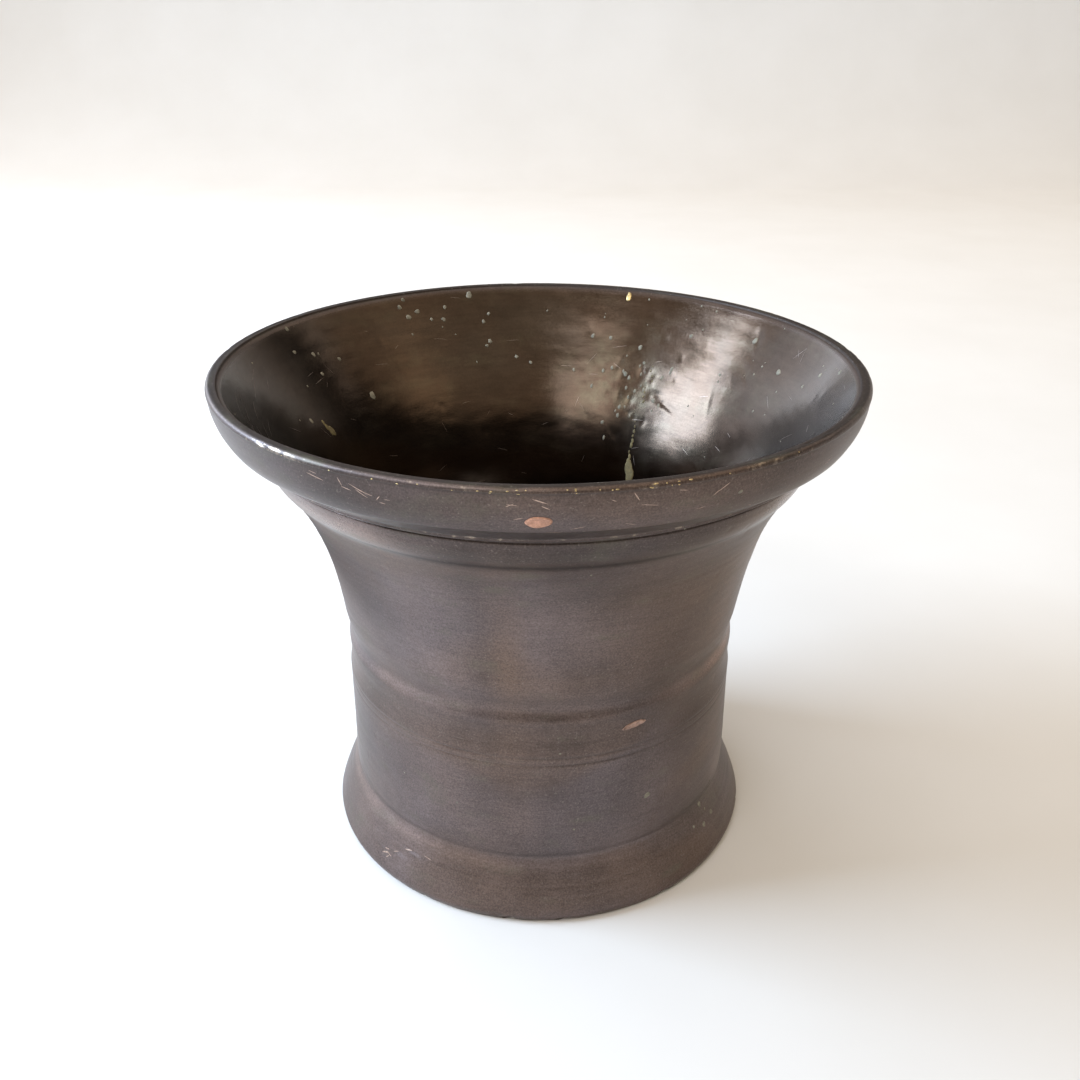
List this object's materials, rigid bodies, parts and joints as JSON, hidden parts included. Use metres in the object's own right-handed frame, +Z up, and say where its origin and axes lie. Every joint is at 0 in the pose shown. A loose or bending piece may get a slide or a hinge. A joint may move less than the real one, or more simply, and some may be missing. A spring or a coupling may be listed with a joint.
{
  "type": "mortar",
  "caption": "Cast bronze mortar with a flared bowl, a banded rim and waist, a spreading foot and copper plugs.",
  "frame": {"origin": "centre of the foot, on the surface the mortar stands on", "axes": "+Z up along the turning axis; -Y towards the plug in the rim"},
  "size_m": [0.13, 0.13, 0.1054],
  "materials": {
    "patinated_bronze": "dark brown patinated cast bronze, turned and worn",
    "rim_copper": "worn copper",
    "belt_copper": "dull copper"
  },
  "bodies": {
    "root": {"mortar_body": "patinated_bronze", "rim_plug": "rim_copper", "belt_plug": "belt_copper"}
  },
  "joints": []
}
